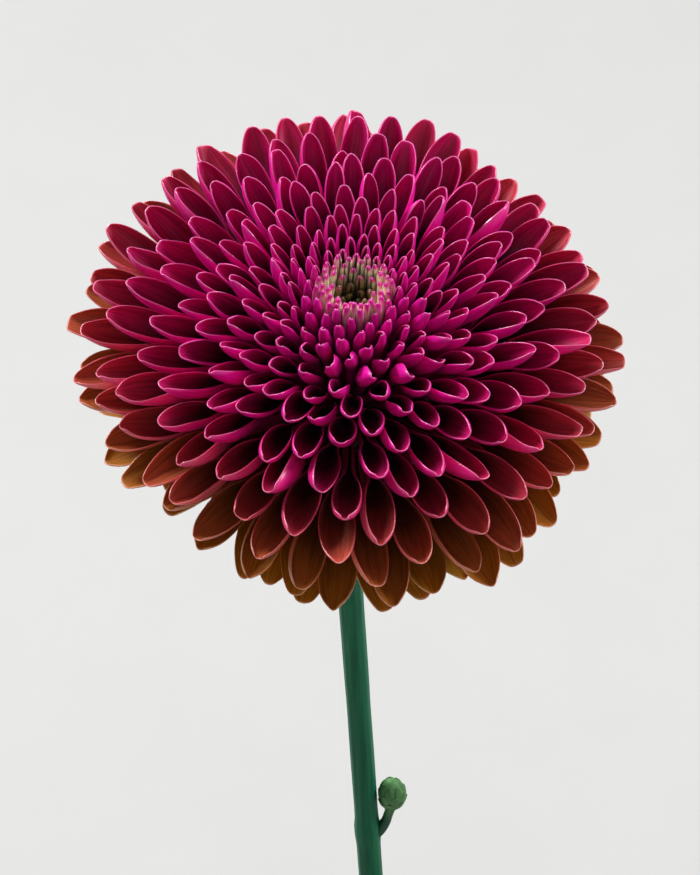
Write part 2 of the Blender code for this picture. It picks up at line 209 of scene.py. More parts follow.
# Stage, in metres: tone of the backdrop, light from all round, the distances between which the
# floor fades into the backdrop, and the lamps, each with its place, size and power in watts.
BACKDROP = (0.73, 0.73, 0.72, 1.0)
WORLD_LIGHT = (0.245, 0.245, 0.248, 1.0)
FLOOR_SIZE = 6.0
FLOOR_FADE = (0.2, 1.1)
LAMPS = (
    ("key", (-0.75, 0.55, 1.15), 0.4, 19.5),
    ("side", (0.95, 0.25, 0.85), 0.4, 10.0),
    ("fill", (0.1, -1.1, 0.9), 0.9, 1.2),
)

# Camera: how far it looks down, the metres that it stands back, the crown of the head as
# millimetres above its centre, the metres that it aims left of and below that, its lens and
# sensor in millimetres, and the metres from which it sees.
LOOK_DOWN = math.radians(45.0)
STAND_BACK = 0.5
CROWN_LEVEL = 16.5
AIM_LEFT = 0.0007
AIM_BELOW = 0.0219
LENS = 142.8
SENSOR = 36.0
NEAREST_SEEN = 0.01


# Helpers

def deselect():
    bpy.ops.object.select_all(action="DESELECT")


def activate(piece):
    deselect()
    piece.select_set(True)
    bpy.context.view_layer.objects.active = piece


def finish_piece(piece, slot, *nodes):
    """Place a finished piece on the body in place of the solids it stands for; slot is not used."""
    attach(piece, "root")
    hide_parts(*nodes)


def face_outwards():
    """Turn the faces of the active piece outwards and shade it smooth."""
    bpy.ops.object.mode_set(mode="EDIT")
    bpy.ops.mesh.select_all(action="SELECT")
    bpy.ops.mesh.normals_make_consistent(inside=False)
    bpy.ops.object.mode_set(mode="OBJECT")
    bpy.ops.object.shade_smooth()


def put_materials(piece, *materials):
    piece.data.materials.clear()
    for material in materials:
        piece.data.materials.append(material)


def smooth_line(points, steps):
    """Rows of numbers on a smooth line through the given rows."""
    rows = np.array(points, dtype=float)
    rows = np.vstack([2 * rows[0] - rows[1], rows, 2 * rows[-1] - rows[-2]])
    line = []
    for before, start, end, after in zip(rows, rows[1:], rows[2:], rows[3:]):
        for share in np.arange(steps) / steps:
            first, second = (end - before) / 2, (after - start) / 2
            square = 3 * (end - start) - 2 * first - second
            cube = 2 * (start - end) + first + second
            line.append(start + first * share + square * share ** 2 + cube * share ** 3)
    return np.array([*line, rows[-2]])


def curve_points(curve, shares):
    """Points and directions of a cubic curve at shares of its length."""
    a, b, c, d = (np.array(point) for point in curve)
    share = np.asarray(shares)[:, None]
    rest = 1.0 - share
    points = rest ** 3 * a + 3 * rest ** 2 * share * b
    points = points + 3 * rest * share ** 2 * c + share ** 3 * d
    along = rest ** 2 * (b - a) + 2 * rest * share * (c - b) + share ** 2 * (d - c)
    return points, along / np.linalg.norm(along, axis=1)[:, None]


def join_pieces(name, pieces):
    """One piece made of several."""
    deselect()
    for piece in pieces:
        piece.select_set(True)
    bpy.context.view_layer.objects.active = pieces[0]
    bpy.ops.object.join()
    joined = bpy.context.object
    joined.name = name
    joined.data.name = name
    return joined


# Materials

def new_material(name, roughness):
    material = bpy.data.materials.new(name)
    material.use_nodes = True
    tree = material.node_tree
    shader = tree.nodes["Principled BSDF"]
    shader.inputs["Roughness"].default_value = roughness
    return material, tree, shader


def ramp(tree, value, stops):
    """Colour ramp over a value from stops of place and colour."""
    node = tree.nodes.new("ShaderNodeValToRGB")
    while len(node.color_ramp.elements) < len(stops):
        node.color_ramp.elements.new(0.5)
    for element, (place, colour) in zip(node.color_ramp.elements, stops):
        element.position = place
        element.color = (*colour, 1.0)
    tree.links.new(value, node.inputs["Fac"])
    return node.outputs["Color"]


def grey_ramp(tree, value, stops):
    return ramp(tree, value, [(place, (level, level, level)) for place, level in stops])


def mix(tree, share, first, second, blend="MIX"):
    """Mix of two colours, each a socket or a plain colour."""
    node = tree.nodes.new("ShaderNodeMix")
    node.data_type = "RGBA"
    node.blend_type = blend
    for name, value in (("Factor", share), ("A", first), ("B", second)):
        socket = [socket for socket in node.inputs if socket.name == name and socket.enabled][0]
        if isinstance(value, bpy.types.NodeSocket):
            tree.links.new(value, socket)
        else:
            socket.default_value = value
    return [socket for socket in node.outputs if socket.enabled][0]


def multiply(tree, first, second):
    return mix(tree, 1.0, first, second, "MULTIPLY")


def read_attribute(tree, name, output="Fac"):
    node = tree.nodes.new("ShaderNodeAttribute")
    node.attribute_name = name
    return node.outputs[output]


def noise(tree, place, scale, detail=3.0, roughness=0.5):
    node = tree.nodes.new("ShaderNodeTexNoise")
    node.inputs["Scale"].default_value = scale
    node.inputs["Detail"].default_value = detail
    node.inputs["Roughness"].default_value = roughness
    tree.links.new(place, node.inputs["Vector"])
    return node.outputs["Fac"]


def object_place(tree, scale=(1.0, 1.0, 1.0)):
    """Object coordinates, stretched along the axes."""
    node = tree.nodes.new("ShaderNodeMapping")
    node.inputs["Scale"].default_value = scale
    place = tree.nodes.new("ShaderNodeTexCoord").outputs["Object"]
    tree.links.new(place, node.inputs["Vector"])
    return node.outputs["Vector"]


def height(tree):
    """Height above the floor, in metres."""
    node = tree.nodes.new("ShaderNodeSeparateXYZ")
    tree.links.new(object_place(tree), node.inputs["Vector"])
    return node.outputs["Z"]


def calculate(tree, operation, first, second):
    node = tree.nodes.new("ShaderNodeMath")
    node.operation = operation
    for socket, value in zip(node.inputs, (first, second)):
        if isinstance(value, bpy.types.NodeSocket):
            tree.links.new(value, socket)
        else:
            socket.default_value = value
    return node.outputs["Value"]


def change_over(tree, value, ends, before=0.0, after=1.0):
    """Share that changes from one level to another as a value goes from end to end."""
    node = tree.nodes.new("ShaderNodeMapRange")
    node.inputs["From Min"].default_value, node.inputs["From Max"].default_value = ends
    tree.links.new(value, node.inputs["Value"])
    return grey_ramp(tree, node.outputs["Result"], ((0.0, before), (1.0, after)))


def in_metres(*sizes):
    return [size * MM for size in sizes]


def bump(tree, level, strength, distance, shader):
    node = tree.nodes.new("ShaderNodeBump")
    node.inputs["Strength"].default_value = strength
    node.inputs["Distance"].default_value = distance
    tree.links.new(level, node.inputs["Height"])
    tree.links.new(node.outputs["Normal"], shader.inputs["Normal"])


def petal_material(name, roughness, gloss, outer, deep_colour_and_shade, reach, vein_depth, grown):
    """Floret skin: colour by age from the tip down into the blade, with fine veins along it.

    Outer and the next argument give the colours by age at the tip and deep in the blade, the deep
    ones partly the floret's own colour and partly painted shade in its cup; reach says where on
    the blade one turns into the other, and a floret is cream below its tip until it is grown, with
    painted shade darkening that cream further below the tip.
    """
    material, tree, shader = new_material(name, roughness)
    age = read_attribute(tree, "age")
    blade = read_attribute(tree, "blade")
    # Deeper down the blade the colour darkens: partly its own, partly painted shade in the cup.
    deep = grey_ramp(tree, blade, ((reach[0], 1.0), (reach[1], 0.0)))
    colour = mix(tree, deep, ramp(tree, age, outer), ramp(tree, age, deep_colour_and_shade))
    veins = noise(tree, read_attribute(tree, "grain", "Vector"), 1.0, 4.0, 0.6)
    colour = multiply(tree, colour, grey_ramp(tree, veins, ((0.36, 1.0 - vein_depth), (0.58, 1.0))))
    blotches = noise(tree, object_place(tree), 240.0, 2.0)
    colour = multiply(tree, colour, grey_ramp(tree, blotches, ((0.35, 0.88), (0.65, 1.0))))
    tone = grey_ramp(tree, read_attribute(tree, "shade"), ((0.0, 0.82), (1.0, 1.0)))
    colour = multiply(tree, colour, tone)
    young = grey_ramp(tree, age, ((grown - 0.05, 1.0), (grown, 0.0)))
    below_tip = read_attribute(tree, "below_tip")
    below = grey_ramp(tree, below_tip, ((0.03, 0.0), (0.11, 1.0)))
    cream = ramp(tree, age, (
        (0.0, (0.12, 0.10, 0.025)), (0.03, (0.34, 0.28, 0.10)), (0.065, (1.0, 0.89, 0.63))))
    # Painted shade: the cream darkens further below the tip, down between the packed florets.
    cream = multiply(tree, cream, grey_ramp(tree, below_tip, ((0.28, 1.0), (0.7, 0.4))))
    colour = mix(tree, multiply(tree, young, below), colour, cream)
    tree.links.new(colour, shader.inputs["Base Color"])
    shader.inputs["Specular IOR Level"].default_value = gloss
    shader.inputs["Sheen Weight"].default_value = 0.04
    shader.inputs["Sheen Tint"].default_value = (1.0, 0.35, 0.6, 1.0)
    shader.inputs["Subsurface Weight"].default_value = 0.3
    shader.inputs["Subsurface Radius"].default_value = (0.9, 0.2, 0.35)
    shader.inputs["Subsurface Scale"].default_value = 0.001
    bump(tree, veins, 0.3, 0.0002, shader)
    return material


def make_petal_materials():
    """Skins of a floret: face, reverse and rim, each from olive through magenta to bronze."""
    # Face: darkest deep in the cup, partly its own deep maroon and partly painted shade.
    face = petal_material(
        "FloretFace", 0.45, 0.2,
        ((0.0, (0.14, 0.13, 0.03)), (0.02, (0.26, 0.17, 0.06)), (0.045, (0.68, 0.008, 0.25)),
         (0.4, (0.73, 0.001, 0.21)), (0.60, (0.70, 0.006, 0.14)), (0.71, (0.66, 0.05, 0.07)),
         (0.81, (0.56, 0.13, 0.04)), (0.91, (0.46, 0.17, 0.018)), (1.0, (0.46, 0.21, 0.010))),
        ((0.0, (0.05, 0.0006, 0.016)), (0.60, (0.045, 0.0006, 0.009)),
         (0.76, (0.08, 0.013, 0.004)), (0.9, (0.14, 0.045, 0.003)), (1.0, (0.20, 0.08, 0.003))),
        (0.25, 1.0), 0.4, 0.14)
    # Reverse: darker towards its base, partly its own colour and partly painted shade there.
    reverse = petal_material(
        "FloretReverse", 0.3, 0.5,
        ((0.0, (0.16, 0.14, 0.03)), (0.02, (0.34, 0.22, 0.09)), (0.045, (0.94, 0.012, 0.46)),
         (0.45, (0.95, 0.002, 0.41)), (0.62, (0.94, 0.012, 0.30)), (0.74, (0.92, 0.12, 0.20)),
         (0.84, (0.86, 0.25, 0.15)), (0.93, (0.68, 0.28, 0.06)), (1.0, (0.56, 0.28, 0.02))),
        ((0.0, (0.58, 0.002, 0.27)), (0.62, (0.54, 0.003, 0.17)), (0.78, (0.50, 0.035, 0.06)),
         (0.9, (0.42, 0.12, 0.02)), (1.0, (0.40, 0.17, 0.012))),
        (0.0, 0.8), 0.25, 0.145)
    # Rim: paler towards the tip as a painted highlight on the tips.
    rim = petal_material(
        "FloretRim", 0.25, 0.55,
        ((0.0, (0.22, 0.20, 0.06)), (0.02, (0.45, 0.30, 0.18)), (0.045, (0.92, 0.20, 0.54)),
         (0.5, (0.90, 0.14, 0.45)), (0.70, (0.90, 0.20, 0.30)), (0.82, (0.84, 0.30, 0.22)),
         (1.0, (0.62, 0.30, 0.11))),
        ((0.0, (0.82, 0.02, 0.34)), (0.5, (0.78, 0.012, 0.27)), (0.75, (0.70, 0.07, 0.11)),
         (0.88, (0.52, 0.13, 0.04)), (1.0, (0.44, 0.19, 0.02))),
        (0.85, 1.0), 0.05, 0.145)
    return face, reverse, rim


def bract_material(name, green, edge_start):
    """Bract skin: dull green with a thin papery edge."""
    material, tree, shader = new_material(name, 0.65)
    shader.inputs["Specular IOR Level"].default_value = 0.3
    veins = noise(tree, read_attribute(tree, "grain", "Vector"), 1.0, 3.0)
    colour = multiply(tree, (*green, 1.0), grey_ramp(tree, veins, ((0.3, 0.6), (0.7, 1.0))))
    edge_end = min(edge_start + 0.12, 1.0)
    edge = grey_ramp(tree, read_attribute(tree, "edge"), ((edge_start, 0.0), (edge_end, 1.0)))
    colour = mix(tree, edge, colour, (0.16, 0.17, 0.07, 1.0))
    tree.links.new(colour, shader.inputs["Base Color"])
    bump(tree, veins, 0.4, 0.0002, shader)
    return material


def stem_material():
    """Fresh green stem, streaked along its ribs, with painted shade at its top inside the head."""
    material, tree, shader = new_material("StemSkin", 0.55)
    shader.inputs["Specular IOR Level"].default_value = 0.15
    streaks = noise(tree, object_place(tree, (1.0, 1.0, 0.045)), 900.0, 4.0, 0.6)
    blotches = noise(tree, object_place(tree, (1.0, 1.0, 0.3)), 90.0, 3.0)
    colour = ramp(tree, streaks, (
        (0.3, (0.001, 0.070, 0.032)), (0.5, (0.002, 0.115, 0.052)), (0.7, (0.008, 0.160, 0.070))))
    tone = ramp(tree, blotches, ((0.35, (0.75, 0.8, 0.8)), (0.65, (1.0, 1.0, 1.0))))
    colour = multiply(tree, colour, tone)
    # Painted shade: the top of the stem, hidden under the florets, turns dark maroon.
    inside = change_over(tree, height(tree), in_metres(*HEAD_SHADE))
    colour = mix(tree, inside, colour, (0.035, 0.004, 0.010, 1.0))
    tree.links.new(colour, shader.inputs["Base Color"])
    bump(tree, streaks, 0.4, 0.0002, shader)
    return material


def bud_material(name, dark, light):
    """Light green skin of the side bud, on a stalk as dark as the stem."""
    material, tree, shader = new_material(name, 0.5)
    shader.inputs["Specular IOR Level"].default_value = 0.3
    blotches = noise(tree, object_place(tree, (1.0, 1.0, 0.3)), 1400.0, 3.0)
    skin = ramp(tree, blotches, ((0.3, dark), (0.7, light)))
    stalk = change_over(tree, height(tree), in_metres(*STALK_END), 1.0, 0.0)
    colour = mix(tree, stalk, skin, (0.007, 0.06, 0.026, 1.0))
    tree.links.new(colour, shader.inputs["Base Color"])
    bump(tree, blotches, 0.3, 0.0002, shader)
    return material


def glaze_material():
    """Slate glaze over buff stoneware: bare at the foot, thin and brown at the rim."""
    material, tree, shader = new_material("SlateGlaze", 0.35)
    level = height(tree)
    clouds = noise(tree, object_place(tree, (1.0, 1.0, 0.6)), 42.0, 5.0, 0.6)
    specks = noise(tree, object_place(tree), 900.0, 2.0, 0.7)
    rings = noise(tree, object_place(tree, (0.04, 0.04, 1.0)), 260.0, 2.0)
    glaze = ramp(tree, clouds, (
        (0.28, (0.024, 0.028, 0.033)), (0.5, (0.044, 0.049, 0.055)), (0.72, (0.078, 0.083, 0.088))))
    speck = grey_ramp(tree, specks, ((0.62, 0.0), (0.70, 0.7)))
    glaze = mix(tree, speck, glaze, (0.13, 0.095, 0.06, 1.0))
    wander = calculate(tree, "MULTIPLY", clouds, GLAZE_WANDER * MM)
    raised, lowered = (calculate(tree, way, level, wander) for way in ("ADD", "SUBTRACT"))
    thin = change_over(tree, raised, in_metres(*GLAZE_THINS), 0.0, 0.8)
    glaze = mix(tree, thin, glaze, (0.16, 0.085, 0.04, 1.0))
    clay = ramp(tree, specks, ((0.35, (0.27, 0.18, 0.10)), (0.6, (0.42, 0.31, 0.20))))
    covered = change_over(tree, lowered, in_metres(*GLAZE_START))
    tree.links.new(mix(tree, covered, clay, glaze), shader.inputs["Base Color"])
    satin = grey_ramp(tree, clouds, ((0.3, 0.42), (0.7, 0.26)))
    tree.links.new(mix(tree, covered, (0.9, 0.9, 0.9, 1.0), satin), shader.inputs["Roughness"])
    bump(tree, mix(tree, 0.35, rings, specks), 0.25, 0.0006, shader)
    return material


def seen_or_mirrored(tree):
    """Whether the camera sees a place, straight or mirrored in something glossy."""
    paths = tree.nodes.new("ShaderNodeLightPath").outputs
    return calculate(tree, "MAXIMUM", paths["Is Camera Ray"], paths["Is Glossy Ray"])


def paper_material():
    """Pale paper that fades into the backdrop with its distance from the vase."""
    material, tree, shader = new_material("StudioPaper", 0.9)
    place = object_place(tree)
    grain = noise(tree, place, 30.0, 6.0, 0.6)
    colour = ramp(tree, grain, ((0.3, (0.552, 0.552, 0.544)), (0.7, (0.568, 0.568, 0.560))))
    tree.links.new(colour, shader.inputs["Base Color"])
    distance = tree.nodes.new("ShaderNodeVectorMath")
    distance.operation = "LENGTH"
    tree.links.new(place, distance.inputs[0])
    far = change_over(tree, distance.outputs["Value"], FLOOR_FADE)
    backdrop = tree.nodes.new("ShaderNodeEmission")
    backdrop.inputs["Color"].default_value = BACKDROP
    fade = tree.nodes.new("ShaderNodeMixShader")
    share = calculate(tree, "MULTIPLY", far, seen_or_mirrored(tree))
    tree.links.new(share, fade.inputs["Fac"])
    tree.links.new(shader.outputs["BSDF"], fade.inputs[1])
    tree.links.new(backdrop.outputs["Emission"], fade.inputs[2])
    tree.links.new(fade.outputs["Shader"], tree.nodes["Material Output"].inputs["Surface"])
    return material


# Flower head

def outline_lengths():
    """Angles down the head's outline, each with its distance from the centre along it."""
    levels = np.linspace(0.0, SKIRT_END, 400)
    rises = np.where(levels < math.pi / 2, CROWN_RISE, SKIRT_DROP)
    steps = np.hypot(np.diff(HEAD_RADIUS * np.sin(levels)), np.diff(rises * np.cos(levels)))
    return levels, np.concatenate([[0.0], np.cumsum(steps)])


LEVELS, LENGTHS = outline_lengths()


def part_number(number):
    """Number that a floret's place has in the part, which has fewer small ones."""
    return float(np.interp(number, PLACES, PART_PLACES))


def floret_age(number):
    """Age of a floret, from 0 at the centre to 1 at the edge."""
    return (part_number(number) + 0.6) / FLORETS


def colour_age(number):
    """Age that a floret's colour shows: older on the side that nods down."""
    age = floret_age(number)
    return age - OLDER_BELOW * math.sin(number * GOLDEN_ANGLE) * age ** 2


def tip_level(number):
    """Level of a floret's tip on the head's outline, as an angle from the crown."""
    packed = CENTRE_SPACING * math.sqrt(part_number(number) + 0.5)
    age = floret_age(number)
    crowded = 1.0 - CROWDING * math.exp(-(age / CROWDED_AGE) ** 2)
    reach = max(packed, LENGTHS[-1] * age ** TIP_POWER * crowded)
    return float(np.interp(reach, LENGTHS, LEVELS))


def lowness(angle):
    """How far a side of the head nods down, from 0 at the back to 1 in front."""
    return (1.0 - math.sin(angle)) / 2.0


def outline_point(level, angle):
    """Point on the head's outline, with the dip and crest of its centre on this side."""
    radius = HEAD_RADIUS * math.sin(level)
    if level > math.pi / 2:
        return np.array((radius, SKIRT_DROP * math.cos(level)))
    dip = CENTRE_DIP * math.exp(-(radius / DIP_RADIUS) ** 2)
    crest = CREST_RISE * math.exp(-((radius - CREST_RADIUS) / CREST_WIDTH) ** 2)
    crest *= lowness(angle)
    return np.array((radius, CROWN_RISE * math.cos(level) - dip + crest))


def dome_point(level):
    """Point on the domed top of the stem, with the direction square off it."""
    normal = np.array((math.sin(level) / DOME_RADIUS, math.cos(level) / DOME_RISE))
    point = np.array((DOME_RADIUS * math.sin(level), DOME_LEVEL + DOME_RISE * math.cos(level)))
    return point, normal / np.linalg.norm(normal)


def base_level(number):
    """Level of a floret's base on the domed top, as an angle from its crown."""
    youngest = CENTRE_ROWS * PER_ROW
    if part_number(number) < youngest:
        return FINGER_SPREAD * math.sqrt((part_number(number) + 0.5) / youngest)
    return DOME_END * floret_age(number) ** BASE_POWER


def by_age(number, values):
    return float(np.interp(floret_age(number), AGES, values))


def side_growth(angle):
    """Change in the length of the florets that grow towards one side."""
    growth = 0.0
    for middle, width, change in UNEVEN_SIDES:
        away = (math.degrees(angle) - middle + 180.0) % 360.0 - 180.0
        growth += change * math.exp(-(away / width) ** 2)
    return growth


def floret_curve(number, chance):
    """Midline of a floret as radius and height: square off the dome, then along its lean."""
    start, normal = dome_point(base_level(number))
    level = tip_level(number)
    tip = outline_point(level, number * GOLDEN_ANGLE)
    freedom = min(1.0, 0.2 + 1.6 * floret_age(number))
    lean = math.radians(float(np.interp(math.degrees(level), LEAN_LEVELS, LEANS)))
    lean += math.radians(chance.gauss(0.0, 5.0)) * freedom
    direction = np.array((math.sin(lean), math.cos(lean)))
    growth = chance.uniform(-0.9, 1.5) * max(freedom, 0.35)
    growth += side_growth(number * GOLDEN_ANGLE) * floret_age(number) * freedom
    tip = tip + direction * growth
    span = float(np.linalg.norm(tip - start))
    return start, start + normal * 0.35 * span, tip - direction * 0.42 * span, tip


def floret_plan(number, chance):
    """Width, depth, mouth and turn of one floret, with its natural variation."""
    freedom = min(1.0, 0.3 + 2.2 * floret_age(number))
    past_crumpled = (floret_age(number) - CRUMPLED_AGE) / CRUMPLED_SPAN
    crumple = CRUMPLE * lowness(number * GOLDEN_ANGLE) * math.exp(-past_crumpled ** 2)
    crumple = freedom + crumple
    width = by_age(number, WIDTHS) * chance.uniform(0.88, 1.04)
    return {
        "width": width,
        "depth": width * by_age(number, DEPTHS) * chance.uniform(0.88, 1.1),
        "length": width * by_age(number, MOUTHS) * chance.uniform(0.88, 1.12),
        "claw": 1.4,
        "even": by_age(number, EVENNESS),
        "taper": by_age(number, TAPERS),
        "point": chance.uniform(0.5, 1.7),
        "closing": by_age(number, CLOSINGS) + chance.gauss(0.0, 7.0) * freedom,
        "groove": by_age(number, GROOVES) * chance.uniform(0.2, 1.4),
        "lift": TIP_LIFT * chance.uniform(0.4, 1.3),
        "roll": math.radians(chance.gauss(0.0, 15.0)) * crumple,
        "sway": math.radians(chance.gauss(0.0, 2.0)) * freedom,
        "skew": chance.gauss(0.0, 0.12) * crumple,
        "wave": chance.gauss(0.0, 10.0) * crumple,
        "phase": chance.uniform(0.0, math.tau),
    }


def blade_template():
    """Flat blade, one face deep, to be rolled into every floret and bract."""
    deselect()
    bpy.ops.mesh.primitive_grid_add(
        x_subdivisions=len(BLADE) + 1, y_subdivisions=6, size=2.0, calc_uvs=False,
        location=(0.0, 0.0, 0.0))
    template = bpy.context.object
    template.name = "blade_template"
    bpy.ops.object.shade_smooth()
    return template


def roll_blade(piece, curve, plan, angle, sections):
    """Roll a flat blade into a tube at its base, open it to a cup and bend it along its midline.

    Gives back, for each corner, its share of the open part, its distance below the tip and its
    place across.
    """
    mesh = piece.data
    flat = np.empty(len(mesh.vertices) * 3)
    mesh.vertices.foreach_get("co", flat)
    flat = flat.reshape(-1, 3)
    steps, widths, depths, closing, drawn = (np.array(column) for column in zip(*sections))
    span = np.linalg.norm(np.array(curve[3]) - np.array(curve[0]))
    opens = max(SHORTEST_TUBE, 1.0 - plan["length"] / span)
    shares = np.concatenate([[0.0, opens * TUBE_RING], opens + (1.0 - opens) * steps])
    points, along = curve_points(curve, shares)
    even = np.where(steps < EVEN_UP_TO, plan["even"], 0.0)
    widths = widths + (EVEN_WIDTH - widths) * even
    widths[-1] *= plan["point"] * (1.0 - 0.9 * min(1.0, max(0.0, plan["closing"]) / 40.0))
    depths = depths + (EVEN_WIDTH - depths) * even
    narrowing = 1.0 - plan["taper"] * steps ** NARROWING_POWER
    widths, depths = widths * narrowing, depths * narrowing
    claw = widths[0] * min(1.0, plan["claw"] / plan["width"] + 0.25)
    half = np.concatenate([[claw * 0.8, claw], widths]) * plan["width"] / 2.0
    depth = np.concatenate([[claw * 0.8, claw], depths]) * plan["depth"]
    depth[:3] = np.minimum(depth[:3], half[:3])
    drawn = np.concatenate([[0.0, 0.0], drawn]) * plan["width"]
    wave = plan["wave"] * np.sin(plan["phase"] + SIDE_WAVES * steps) * steps
    closing = np.concatenate([closing[:1], closing[:1], closing + plan["closing"] + wave])
    closing = np.clip(closing, *CLOSING_LIMITS)
    blade = np.clip((shares - opens) / (1.0 - opens), 0.0, 1.0)
    place = np.round((flat[:, 0] + 1.0) / 2.0 * (len(shares) - 1)).astype(int)
    across = flat[:, 1]
    turn = closing[place] * across * (1.0 + plan["skew"] * across)
    turn = np.radians(np.clip(turn, -CLOSING_LIMITS[1], CLOSING_LIMITS[1]))
    rise = -depth[place] * np.cos(turn)
    rise += plan["groove"] * np.cos(1.5 * math.pi * across) * np.sin(math.pi * blade)[place]
    rise += plan["lift"] * plan["depth"] * blade[place] ** 4
    side = half[place] * np.sin(turn)
    twist = plan["roll"] * shares[place]
    side, rise = (
        side * np.cos(twist) - rise * np.sin(twist), side * np.sin(twist) + rise * np.cos(twist))
    back = drawn[place] * across ** 2
    inward = np.stack([-along[:, 1], along[:, 0]], 1)
    radius = points[place, 0] + inward[place, 0] * rise - along[place, 0] * back
    level = points[place, 1] + inward[place, 1] * rise - along[place, 1] * back
    bearing = angle + plan["sway"] * shares[place] ** 2
    shape = np.stack([
        radius * np.cos(bearing) - side * np.sin(bearing),
        radius * np.sin(bearing) + side * np.cos(bearing),
        level,
    ], 1)
    matrix = np.array(HEAD)
    mesh.vertices.foreach_set("co", ((shape @ matrix[:3, :3].T + matrix[:3, 3]) * MM).ravel())
    return blade[place], (1.0 - shares[place]) * span, across


def mark(mesh, name, values):
    """Write one number for each corner of a mesh, or the same one for all."""
    values = np.broadcast_to(values, len(mesh.vertices)).astype(np.float32)
    mesh.attributes.new(name, "FLOAT", "POINT").data.foreach_set("value", values)


def mark_grain(mesh, along, across, seed):
    """Mark where the veins run: slow along the blade, fine across it, its own on each blade."""
    grain = np.stack([along * 0.12, across * 9.0, np.full(len(along), seed * 40.0)], 1)
    attribute = mesh.attributes.new("grain", "FLOAT_VECTOR", "POINT")
    attribute.data.foreach_set("vector", grain.astype(np.float32).ravel())


def copy_blade(template, name):
    piece = bpy.data.objects.new(name, template.data.copy())
    bpy.context.collection.objects.link(piece)
    return piece


def open_part(mesh, blade):
    """Tree of the faces in the open part of a floret, with the middle of it."""
    faces = [tuple(face.vertices) for face in mesh.polygons]
    faces = [face for face in faces if min(blade[list(face)]) > OPEN_FROM]
    points = [vertex.co for vertex in mesh.vertices]
    return BVHTree.FromPolygons(points, faces), points[faces[len(faces) // 2][0]].copy()


def make_floret(template, number, growth):
    """One floret in one of the ways it may grow."""
    chance = random.Random(FIRST_SEED + number * FLORET_STEP + growth * GROWTH_STEP)
    floret = copy_blade(template, f"floret_{number:03d}")
    curve = floret_curve(number, chance)
    plan = floret_plan(number, chance)
    blade, below_tip, across = roll_blade(floret, curve, plan, number * GOLDEN_ANGLE, BLADE)
    shade = chance.random()
    mark(floret.data, "age", colour_age(number))
    mark(floret.data, "shade", shade)
    # Raised towards the edges, so the painted shade deep in the cup eases off at its sides.
    mark(floret.data, "blade", 1.0 - (1.0 - blade) * (1.0 - 0.5 * np.abs(across) ** 3))
    below = below_tip / TIP_REACH * np.minimum(0.35 + 4.0 * across ** 2, 1.3)
    mark(floret.data, "below_tip", np.clip(below, 0.0, 1.0))
    mark_grain(floret.data, below_tip, across, shade)
    return floret, open_part(floret.data, blade)


def crossings(part, parts):
    """Number of faces of a floret's open part that pass through those of its neighbours."""
    tree, middle = part
    near = (other for other, place in parts if (place - middle).length < NEAR)
    return sum(len(tree.overlap(other)) for other in near)


def grow_florets(template):
    """Every floret, regrown where it passes through others the way that does so least."""
    numbers = range(FLORETS + SMALL_FLORETS)
    florets, parts = map(list, zip(*(make_floret(template, number, 0) for number in numbers)))
    for sweep in range(SWEEPS):
        for number in numbers:
            others = parts[:number] + parts[number + 1:]
            least = crossings(parts[number], others)
            for growth in range(1 + sweep * GROWTHS, 1 + (sweep + 1) * GROWTHS):
                if not least:
                    break
                floret, part = make_floret(template, number, growth)
                count = crossings(part, others)
                if count < least:
                    florets[number], floret = floret, florets[number]
                    parts[number], least = part, count
                bpy.data.objects.remove(floret, do_unlink=True)
    return florets


def give_skin(piece, thickness, materials):
    """Give joined blades their thickness, with a face, a reverse and a rim, and smooth them."""
    put_materials(piece, *materials)
    skin = piece.modifiers.new("Skin", "SOLIDIFY")
    skin.thickness = thickness * MM
    skin.offset = -1.0
    skin.material_offset = 1
    skin.material_offset_rim = 2
    round_off = piece.modifiers.new("RoundOff", "SUBSURF")
    round_off.levels = 1
    round_off.render_levels = 1


def make_head(template):
    """All florets, joined row by row as in the part."""
    materials = make_petal_materials()
    rows = {row: [] for row in range(ROWS)}
    for number, floret in enumerate(grow_florets(template)):
        rows[int(part_number(number)) // PER_ROW].append(floret)
    youngest = [floret for row in range(CENTRE_ROWS) for floret in rows[row]]
    young = join_pieces("young_florets", youngest)
    give_skin(young, SKIN, materials)
    finish_piece(young, "centre_floret", "centre_florets")
    for row in range(CENTRE_ROWS, ROWS):
        piece = join_pieces(f"florets_{row:02d}", rows[row])
        give_skin(piece, SKIN, materials)
        slot = "bronze_floret" if row >= ROWS - BRONZE_ROWS else "magenta_floret"
        finish_piece(piece, slot, f"floret_row_{row:02d}")


def bract_plan(width, length, chance):
    """Width, depth, mouth and turn of one bract, with its natural variation."""
    return {
        "width": width * chance.uniform(0.92, 1.08), "depth": 1.5, "length": length,
        "closing": 0.0, "groove": 0.12, "lift": 0.0, "claw": 9.0, "even": 0.0, "point": 1.0,
        "taper": 0.0, "roll": math.radians(chance.gauss(0.0, 5.0)),
        "sway": math.radians(chance.gauss(0.0, 1.5)), "skew": 0.0, "wave": 0.0, "phase": 0.0,
    }


